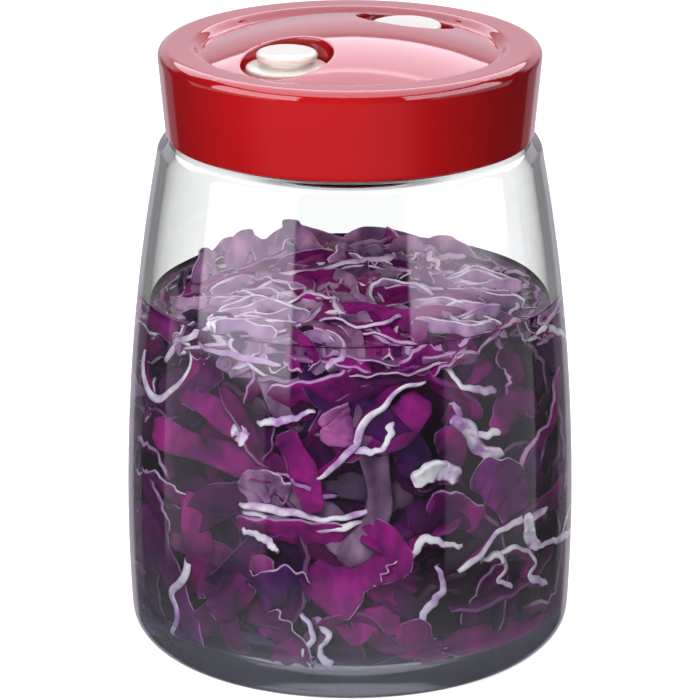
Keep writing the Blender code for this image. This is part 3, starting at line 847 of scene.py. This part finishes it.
class Ribbons:
    """Collects ribbons as one mesh; material 0 is the skin and 1 the cut edge."""

    def __init__(self):
        self.vertices = []
        self.faces = []
        self.slots = []
        self.looks = {"tint": [], "light": [], "edge": []}
        self.count = 0

    def add(self, path, side, width, thickness, tint, ruffle=0.0, cup=0.0, phase=0.0,
            white=False, light=1.0, edge=1.0, bold=False):
        """One ribbon along the path, a list of points; side gives the width direction at each.

        light is how bright it is drawn, a painted shade that is lower deep in the heap, and edge
        how white its cuts are, both up to 1.
        """
        path = np.asarray(path, float)
        side = np.asarray(side, float)
        ahead = np.gradient(path, axis=0)
        ahead /= np.linalg.norm(ahead, axis=1, keepdims=True) + 1e-12
        side = side - ahead * np.sum(side * ahead, axis=1, keepdims=True)
        side /= np.linalg.norm(side, axis=1, keepdims=True) + 1e-12
        up = np.cross(ahead, side)
        count = len(path)
        along = np.linspace(0.0, 1.0, count)
        ends = np.clip(np.minimum(along, 1.0 - along) * 8.0 + 0.30, 0.0, 1.0)
        half_width = width * 0.5 * np.sqrt(ends) * (1.0 + 0.14 * np.sin(9.0 * along + phase))
        swell = 1.0 + 0.25 * np.sin(7.0 * along + phase * 2.0)
        half_thick = thickness * 0.5 * swell * ends ** 0.5
        bevel = min(0.45 * thickness / width, 0.35)
        face = np.array([1.0 - bevel, 0.55, 0.18, -0.18, -0.55, bevel - 1.0])
        across = np.concatenate([[1.0, 1.0], face, [-1.0, -1.0], -face])
        through = np.array([-0.55, 0.55] + [1.0] * 6 + [0.55, -0.55] + [-1.0] * 6)
        wave = ruffle * np.sin(24.0 * along * (1.0 + 0.2 * math.sin(phase)) + phase)
        ripple = ruffle * 0.5 * np.sin(41.0 * along + phase * 3.0)
        first = self.count
        sides = len(across)
        for station in range(count):
            bow = wave[station] * across * np.abs(across) + ripple[station] * across
            bow += cup * across ** 2
            self.vertices.append(
                path[station]
                + np.outer(across * half_width[station], side[station])
                + np.outer(through * half_thick[station] + bow, up[station])
            )
        last = first + (count - 1) * sides
        cuts = BOLD_CUTS if bold else CUT_FACES
        self.faces += bands(first, count, sides)
        self.slots += [int(white or corner in cuts) for corner in range(sides)] * (count - 1)
        self.faces.append(tuple(reversed(range(first, first + sides))))
        self.faces.append(tuple(range(last, last + sides)))
        self.slots += [1, 1]
        for name, value in (("tint", tint), ("light", light), ("edge", edge)):
            self.looks[name] += [value] * (count * sides)
        self.count += count * sides

    def build(self, piece_name):
        """The mesh of all the ribbons, kept inside the glass."""
        points = keep_inside(np.concatenate(self.vertices))
        piece = add_piece(piece_name, points, self.faces, CABBAGE, outward=False)
        piece.data.polygons.foreach_set("material_index", self.slots)
        for name, values in self.looks.items():
            layer = piece.data.attributes.new(name, "FLOAT", "POINT")
            layer.data.foreach_set("value", np.array(values, np.float32))
        piece.data.update()


def keep_inside(points):
    """Points that would reach into the glass are pressed flat against it."""
    points = points.copy()
    points[:, 2] = np.clip(points[:, 2], FLOOR_HEIGHT + FLOOR_CLEARANCE, HEAP_LIMIT)
    radius = np.hypot(points[:, 0], points[:, 1])
    room = inner_radius(points[:, 2]) - SHRED_CLEARANCE
    over = radius > room
    points[over, :2] *= (room[over] / radius[over])[:, None]
    return points


def core_top(x, y):
    """Height of the heap over a place in plan."""
    across = min(math.hypot(x, y) / inner_radius(HEAP_SHOULDER), 1.0)
    hill = HEAP_SHOULDER + (HEAP_PEAK - HEAP_SHOULDER) * (1.0 - across ** 2)
    return hill + HEAP_LUMPS * noise.noise(Vector((x, y, 0.4)) * 42.0)


def build_core():
    """A lumpy dark body inside the heap, so that no light comes through it; its near-black colour
    is painted shade between the shreds.
    """
    foot_reach = 0.028
    foot_round = 0.016
    outline = [(0.0, HEAP_BOTTOM)]
    reach = inner_radius(0.03) - CORE_INSET - foot_reach
    outline += arc((foot_reach, HEAP_BOTTOM + foot_round), reach, foot_round, -90.0, -8.0, 8)
    heights = np.linspace(HEAP_BOTTOM + 0.018, HEAP_SHOULDER - 0.006, 26)
    outline += [(inner_radius(h) - CORE_INSET, h) for h in heights]
    outline += [(radius, HEAP_SHOULDER) for radius in np.linspace(0.046, 0.0, 16)]
    vertices, faces = turned_mesh(outline, 96)
    lumpy = []
    for x, y, z in vertices:
        if z >= HEAP_SHOULDER - 0.0001:
            z = core_top(x, y) - CORE_DROP
        spot = Vector((x, y, z))
        squeeze = 1.0 + 0.045 * (noise.noise(spot * 85.0) + 0.5 * noise.noise(spot * 210.0))
        lumpy.append((x * squeeze, y * squeeze, z))
    return add_piece("cabbage_core", lumpy, faces, [core_material()])


def curl(draw, steps, length, bend, wiggle):
    """A plane curve as (along, across) offsets about its middle, bending and wavering."""
    heading = 0.0
    phase = draw.uniform(*PHASES)
    points = [(0.0, 0.0)]
    for step in range(steps - 1):
        share = step / (steps - 1)
        heading += bend / (steps - 1) + wiggle * math.cos(phase + 9.0 * share) / (steps - 1)
        last = points[-1]
        stride = length / (steps - 1)
        points.append((last[0] + stride * math.cos(heading), last[1] + stride * math.sin(heading)))
    points = np.array(points)
    return points - points.mean(axis=0)


def lay_on_wall(ribbons, flat, angle, height, roll, inset, width, thickness, tint, **looks):
    """A ribbon along a flat curve (round, up) that is wrapped inside the glass.

    roll and inset are values at each point: the tilt of the ribbon out of the
    wall's surface, and its depth behind the glass.
    """
    path = []
    side = []
    last = len(flat) - 1
    for step in range(last + 1):
        level = height + flat[step, 1]
        level -= WALL_BEND * max(level - WALL_LIMIT, 0.0)
        here = angle + flat[step, 0] / WRAP_RADIUS
        deep = inset[step] + 0.5 * width * abs(math.sin(roll[step])) + thickness * 0.5
        radius = inner_radius(min(max(level, 0.0095), 0.12)) - deep
        outward = np.array([math.cos(here), math.sin(here), 0.0])
        path.append(outward * radius + np.array([0.0, 0.0, level]))
        tangent = np.array([-math.sin(here), math.cos(here), 0.0])
        run = flat[min(step + 1, last)] - flat[max(step - 1, 0)]
        run = run / (np.linalg.norm(run) + 1e-9)
        in_wall = tangent * -run[1] + np.array([0.0, 0.0, 1.0]) * run[0]
        side.append(in_wall * math.cos(roll[step]) + outward * math.sin(roll[step]))
    ribbons.add(path, side, width, thickness, tint, **looks)


def wall_ribbon(ribbons, draw, angle, height, depth, light, shade, widths, edgewise, whiteness):
    """A ribbon near the glass; depth is how far behind the glass it lies."""
    length = draw.uniform(*WALL_LENGTHS)
    width = draw.uniform(*widths)
    thickness = draw.uniform(*WALL_THICKNESSES)
    flat = curl(draw, RIBBON_STATIONS, length, draw.uniform(*WALL_BENDS), draw.uniform(*WALL_WAVES))
    slope = draw.gauss(0.0, WALL_SLOPES)
    flat = np.column_stack([
        flat[:, 0] * math.cos(slope) - flat[:, 1] * math.sin(slope),
        flat[:, 0] * math.sin(slope) + flat[:, 1] * math.cos(slope),
    ])
    if draw.random() < edgewise:
        start = math.radians(draw.choice((-1.0, 1.0)) * draw.uniform(*EDGEWISE_ROLLS))
        width *= 0.7
    else:
        start = math.radians(draw.uniform(-FLAT_ROLL, FLAT_ROLL))
    share = np.linspace(0.0, 1.0, RIBBON_STATIONS)
    roll = start + draw.uniform(-0.7, 0.7) * (share - 0.5)
    sway = draw.uniform(0.0, WALL_SWAY)
    inset = depth + sway * (1.0 + np.sin(4.0 * share + draw.uniform(*PHASES)))
    tint = min(max(draw.gauss(shade, 0.16), 0.0), 0.93)
    if draw.random() < PALE_SHARE:
        tint = 1.0
    lay_on_wall(
        ribbons, flat, angle, height, roll, inset, width, thickness, tint,
        ruffle=draw.uniform(0.0001, 0.0008), cup=draw.uniform(-0.0012, 0.0012),
        phase=draw.uniform(*PHASES), white=draw.random() < WHITE_SHARE and whiteness == 1.0,
        light=light * draw.uniform(0.75, 1.15), edge=whiteness * draw.random() ** 0.8,
    )


def build_wall_shreds():
    """Three layers behind the glass, the deepest ones broad and drawn darker as painted shade."""
    draw = random.Random(21)
    ribbons = Ribbons()
    for depth, count, light, shade, widths, edgewise in WALL_LAYERS:
        for index in range(count):
            angle = 2.0 * math.pi * TURN_SHARE * index + draw.uniform(-0.3, 0.3)
            rise = (index * RISE_SHARE + draw.uniform(-0.03, 0.03)) % 1.0
            height = LOWEST_SHRED + (HEAP_SHOULDER + 0.004 - LOWEST_SHRED) * rise
            near_front = abs(math.remainder(angle + math.pi / 2.0, 2.0 * math.pi)) < FRONT_SPAN
            if depth < 0.001 and near_front and draw.random() < 0.6:
                continue
            wall_ribbon(
                ribbons, draw, angle, height, depth, light, shade, widths, edgewise,
                whiteness=0.55 if near_front else 1.0,
            )
    ribbons.build("cabbage_wall_shreds")


def place_on_wall(across, down, inset):
    """(angle, height) of the point behind the glass that the camera sees at a pixel."""
    ahead = np.array([0.0, math.cos(CAMERA_PITCH), -math.sin(CAMERA_PITCH)])
    upward = np.array([0.0, math.sin(CAMERA_PITCH), math.cos(CAMERA_PITCH)])
    eye = np.array([0.0, 0.0, AIM_HEIGHT]) - ahead * CAMERA_DISTANCE
    right = np.array([1.0, 0.0, 0.0])
    ray = ahead * (CAMERA_LENS / SENSOR * FRAME)
    ray = ray + right * (across - FRAME / 2.0) + upward * (FRAME / 2.0 - down)
    ray /= np.linalg.norm(ray)
    near = CAMERA_DISTANCE - 0.08
    far = CAMERA_DISTANCE + 0.02
    for _ in range(40):
        middle = (near + far) / 2.0
        spot = eye + ray * middle
        room = inner_radius(min(max(spot[2], 0.0090), 0.15)) - inset
        if math.hypot(spot[0], spot[1]) > room:
            near = middle
        else:
            far = middle
    spot = eye + ray * far
    return math.atan2(spot[1], spot[0]) + math.pi / 2.0, spot[2]


def along_stroke(points, count):
    """A smooth curve of count points through a few given ones."""
    points = np.asarray(points, float)
    padded = np.vstack([2.0 * points[0] - points[1], points, 2.0 * points[-1] - points[-2]])
    dense = []
    for index in range(len(points) - 1):
        before, start, end, after = padded[index:index + 4]
        for share in np.linspace(0.0, 1.0, 12, endpoint=False):
            dense.append(0.5 * (
                2.0 * start + (end - before) * share
                + (2.0 * before - 5.0 * start + 4.0 * end - after) * share ** 2
                + (3.0 * start - before - 3.0 * end + after) * share ** 3
            ))
    dense.append(points[-1])
    return resampled(dense, count)


def build_front_shreds():
    """The shreds that stand out at the front, each along a given stroke."""
    ribbons = Ribbons()
    share = np.linspace(0.0, 1.0, STROKE_STATIONS)
    for index, (kind, width, roll, inset, tint, places) in enumerate(STROKES):
        width *= MILLIMETRE
        inset *= MILLIMETRE
        thickness, whiteness, ruffle, cup = KINDS[kind]
        spots = [place_on_wall(x, y, inset) for x, y in zip(places[::2], places[1::2])]
        spots = [(angle * WRAP_RADIUS, height) for angle, height in spots]
        rolls = math.radians(roll) + 0.12 * np.sin(5.0 * share + index)
        insets = inset + 0.0006 * (1.0 + np.sin(6.0 * share + 2.0 * index))
        flat = along_stroke(spots, STROKE_STATIONS)
        lay_on_wall(
            ribbons, flat, -math.pi / 2.0, 0.0, rolls, insets, width,
            thickness or width * 0.5, tint, ruffle=ruffle, cup=cup, phase=1.7 * index,
            white=kind == "rib", bold=kind == "edge", edge=whiteness,
        )
    ribbons.build("cabbage_front_shreds")


def add_heap_shreds(ribbons, draw):
    """Ribbons that lie on the heap, many on edge, some arching above the liquid."""
    last = TOP_STATIONS - 1
    for index in range(TOP_COUNT):
        reach = TOP_SPREAD * math.sqrt((index + 0.5) / TOP_COUNT)
        around = index * GOLDEN_ANGLE
        length = draw.uniform(*TOP_LENGTHS)
        width = draw.uniform(*TOP_WIDTHS)
        thickness = draw.uniform(*TOP_THICKNESSES)
        flat = curl(draw, TOP_STATIONS, length, draw.uniform(*TOP_BENDS), draw.uniform(*TOP_WAVES))
        heading = draw.uniform(*PHASES)
        lift = draw.uniform(0.0, TOP_LIFT) + (HIGH_LIFT if draw.random() < HIGH_SHARE else 0.0)
        lean = draw.choice([draw.uniform(*leans) for leans in TOP_LEANS])
        tilt = draw.uniform(-TOP_TILT, TOP_TILT)
        path = []
        side = []
        for step, (along, across) in enumerate(flat):
            x = reach * math.cos(around) + along * math.cos(heading) - across * math.sin(heading)
            y = reach * math.sin(around) + along * math.sin(heading) + across * math.cos(heading)
            far = math.hypot(x, y)
            if far > TOP_REACH:
                squeeze = (TOP_REACH + (far - TOP_REACH) * 0.12) / far
                x *= squeeze
                y *= squeeze
            z = core_top(x, y) - 0.0015 + lift * math.sin(math.pi * step / last) + tilt * along
            inward = max(1.0 - far / MIDDLE_REACH, 0.0)
            z = min(z, WATER_HEIGHT + EDGE_RISE + MIDDLE_RISE * inward)
            path.append((x, y, z))
            run = flat[min(step + 1, last)] - flat[max(step - 1, 0)]
            turn = heading + math.atan2(run[1], run[0])
            side.append((-math.sin(turn), math.cos(turn), lean))
        tint = min(max(draw.gauss(0.85, 0.22), 0.0), 1.0)
        ribbons.add(
            path, side, width, thickness, tint, ruffle=draw.uniform(0.0002, 0.0008),
            phase=draw.uniform(*PHASES), light=draw.uniform(0.75, 1.0),
            edge=draw.uniform(0.55, 1.0), bold=draw.random() < 0.5,
        )


def add_crests(ribbons):
    """Leaves that stand up out of the heap."""
    share = np.linspace(0.0, 1.0, TOP_STATIONS)
    for index, (x, y, tip, heading, length) in enumerate(CRESTS):
        low = core_top(x, y) - 0.001
        rise = low + (tip - 0.5 * CREST_WIDTH - low) * np.sin(math.pi * share ** 0.6) ** 1.6
        run = (share - 0.5) * length
        path = np.column_stack([x + run * math.cos(heading), y + run * math.sin(heading), rise])
        side = np.tile([-0.3 * math.sin(heading), 0.3 * math.cos(heading), 1.0], (TOP_STATIONS, 1))
        ribbons.add(
            path, side, CREST_WIDTH, CREST_THICKNESS, 0.96, ruffle=0.0010, phase=1.3 * index,
            light=0.9, edge=0.9,
        )


def add_reflection_nests(ribbons, draw):
    """Loose bundles of wavy pale edges at the waterline, partly a painted reflection of the brine's
    surface.
    """
    share = np.linspace(0.0, 1.0, TOP_STATIONS)
    side = np.tile([0.0, 0.45, 1.0], (TOP_STATIONS, 1))
    for left, right, y, bow, count in REFLECTION_NESTS:
        for index in range(count):
            inset = 0.34 * draw.random()
            run = left + (right - left) * (inset * (index % 2) + share * (0.98 - inset))
            drift = NEST_SPACING * index + bow * np.sin(math.pi * share)
            drift += 0.0016 * np.sin(7.0 * share + 2.4 * index)
            drift += 0.0011 * np.sin(15.0 * share + 1.1 * index ** 2)
            rise = NEST_RISE + 0.0012 * np.sin(4.0 * share + 1.3 * index) + 0.0003 * index
            path = np.column_stack([run, y + drift, WATER_HEIGHT + rise])
            ribbons.add(
                path, side, NEST_WIDTH, NEST_THICKNESS, 1.0, ruffle=0.0003,
                phase=1.9 * index, edge=draw.uniform(0.8, 1.0), bold=True,
            )


def build_top_shreds():
    """Everything that shows at and above the waterline."""
    draw = random.Random(8)
    ribbons = Ribbons()
    add_heap_shreds(ribbons, draw)
    add_crests(ribbons)
    add_reflection_nests(ribbons, draw)
    ribbons.build("cabbage_top_shreds")


# ---------------------------------------------------------------- stage

def build_floor():
    """A floor that is bright to the eye, and lights the jar from below only a little; seen through
    the glass it is drawn dimmer, as painted shade under the jar.
    """
    mesh = bpy.data.meshes.new("floor")
    corners = ((-1.0, -1.0), (1.0, -1.0), (1.0, 1.0), (-1.0, 1.0))
    corners = [(x * FLOOR_REACH, y * FLOOR_REACH, 0.0) for x, y in corners]
    mesh.from_pydata(corners, [], [(0, 1, 2, 3)])
    floor = bpy.data.objects.new("floor", mesh)
    bpy.context.scene.collection.objects.link(floor)
    material, tree, shader, output = new_material(
        "floor", Roughness=0.9, Specular_IOR_Level=0.0, Emission_Color=(1.0, 1.0, 1.0, 1.0)
    )
    rays = add_node(tree, "ShaderNodeLightPath").outputs
    glow = spread(tree, rays["Is Diffuse Ray"], FLOOR_GLOW, 0.0)
    # Seen through the glass the floor glows less and is darker: painted shade under the jar
    through = rays["Is Transmission Ray"]
    glow = calculated(tree, "MULTIPLY_ADD", through, -FLOOR_GLOW_LOSS, glow)
    wire(tree, shader, Emission_Strength=glow)
    dim = calculated(tree, "MULTIPLY_ADD", through, 0.13, rays["Is Diffuse Ray"])
    paper = ramp(tree, dim, [(0.0, (0.90, 0.90, 0.90)), (1.0, (0.45, 0.45, 0.45))])
    wire(tree, shader, Base_Color=paper)
    # Reflections inside the glass see the dark room and not the floor
    clear = add_node(tree, "ShaderNodeBsdfTransparent")
    either = add_node(tree, "ShaderNodeMixShader")
    mirrored = calculated(tree, "GREATER_THAN", rays["Glossy Depth"], 0.5)
    tree.links.new(mirrored, either.inputs["Fac"])
    tree.links.new(shader.outputs["BSDF"], either.inputs[1])
    tree.links.new(clear.outputs["BSDF"], either.inputs[2])
    tree.links.new(either.outputs["Shader"], output.inputs["Surface"])
    mesh.materials.append(material)
    floor.visible_glossy = False


def area_light(name, place, aim, width, height, power):
    """A soft light that lights the jar without showing in it."""
    data = bpy.data.lights.new(name, "AREA")
    data.shape = "RECTANGLE"
    data.size = width
    data.size_y = height
    data.energy = power
    light = bpy.data.objects.new(name, data)
    light.location = place
    light.rotation_euler = (Vector(aim) - Vector(place)).to_track_quat("-Z", "Y").to_euler()
    light.visible_glossy = False
    light.visible_camera = False
    light.visible_transmission = False
    bpy.context.scene.collection.objects.link(light)


def window(tree, azimuth, elevation, azimuths, elevations, soft):
    """1 inside a patch of the sky, 0 outside; angles in degrees."""
    product = None
    for source, (low, high) in ((azimuth, azimuths), (elevation, elevations)):
        for start, end in ((low - soft, low + soft), (high + soft, high - soft)):
            start, end = math.radians(start), math.radians(end)
            edge = spread(tree, source, 0.0, 1.0, start, end, "SMOOTHSTEP")
            product = edge if product is None else calculated(tree, "MULTIPLY", product, edge)
    return product


def build_world():
    """A white studio; what glossy surfaces mirror is a dark room with soft boxes."""
    world = bpy.data.worlds.new("studio")
    bpy.context.scene.world = world
    world.use_nodes = True
    tree = world.node_tree
    background = tree.nodes["Background"]
    place = add_node(tree, "ShaderNodeTexCoord")
    split = add_node(tree, "ShaderNodeSeparateXYZ")
    tree.links.new(place.outputs["Generated"], split.inputs["Vector"])
    back = calculated(tree, "MULTIPLY", split.outputs["Y"], -1.0)
    azimuth = calculated(tree, "ARCTAN2", split.outputs["X"], back)
    elevation = calculated(tree, "ARCSINE", split.outputs["Z"])
    turn = calculated(tree, "ABSOLUTE", azimuth)
    mirrored = ROOM_LEVEL
    for both_sides, azimuths, elevations, soft, strength in SOFT_BOXES:
        patch = window(tree, turn if both_sides else azimuth, elevation, azimuths, elevations, soft)
        mirrored = calculated(tree, "MULTIPLY_ADD", patch, strength, mirrored)
    rays = add_node(tree, "ShaderNodeLightPath").outputs
    direct = calculated(tree, "MULTIPLY", rays["Is Glossy Ray"], rays["Is Reflection Ray"])
    within = calculated(tree, "MINIMUM", rays["Glossy Depth"], 1.0)
    through = mixed(tree, rays["Is Transmission Ray"], LIGHTING_LEVEL, THROUGH_LEVEL)
    plain = mixed(tree, rays["Is Camera Ray"], through, 1.0)
    # Rays that have turned back inside the glass find the room darkest at the front
    front = window(tree, turn, elevation, *INNER_PATCH)
    inner = mixed(tree, within, plain, spread(tree, front, *INNER_LEVELS))
    tree.links.new(mixed(tree, direct, inner, mirrored), background.inputs["Strength"])
    tint = ramp(tree, direct, [(0.0, (1.0, 1.0, 1.0)), (1.0, MIRROR_TINT)])
    tree.links.new(tint, background.inputs["Color"])


def build_camera():
    """A long lens, aimed at the jar's axis."""
    data = bpy.data.cameras.new("camera")
    data.lens = CAMERA_LENS
    data.sensor_width = SENSOR
    camera = bpy.data.objects.new("camera", data)
    aim = Vector((0.0, 0.0, AIM_HEIGHT))
    back = Vector((0.0, -math.cos(CAMERA_PITCH), math.sin(CAMERA_PITCH)))
    camera.location = aim + back * CAMERA_DISTANCE
    camera.rotation_euler = (-back).to_track_quat("-Z", "Y").to_euler()
    bpy.context.scene.collection.objects.link(camera)
    bpy.context.scene.camera = camera


def build_stage():
    """The floor, the room and the lights, shown in plain tones."""
    build_floor()
    build_world()
    for light in LIGHTS:
        area_light(*light)
    bpy.context.scene.view_settings.view_transform = "Standard"


build_camera()
build_stage()
build_glass()
build_lid()
WHITE = plastic_material("white_plastic", CREAM, roughness=0.16, variation=0.02)
for row in WHITE_PIECES:
    build_white_piece(WHITE, *row)
build_brine()
CABBAGE = [skin_material(), cut_material()]
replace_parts(build_core(), "cabbage")
build_wall_shreds()
build_front_shreds()
build_top_shreds()
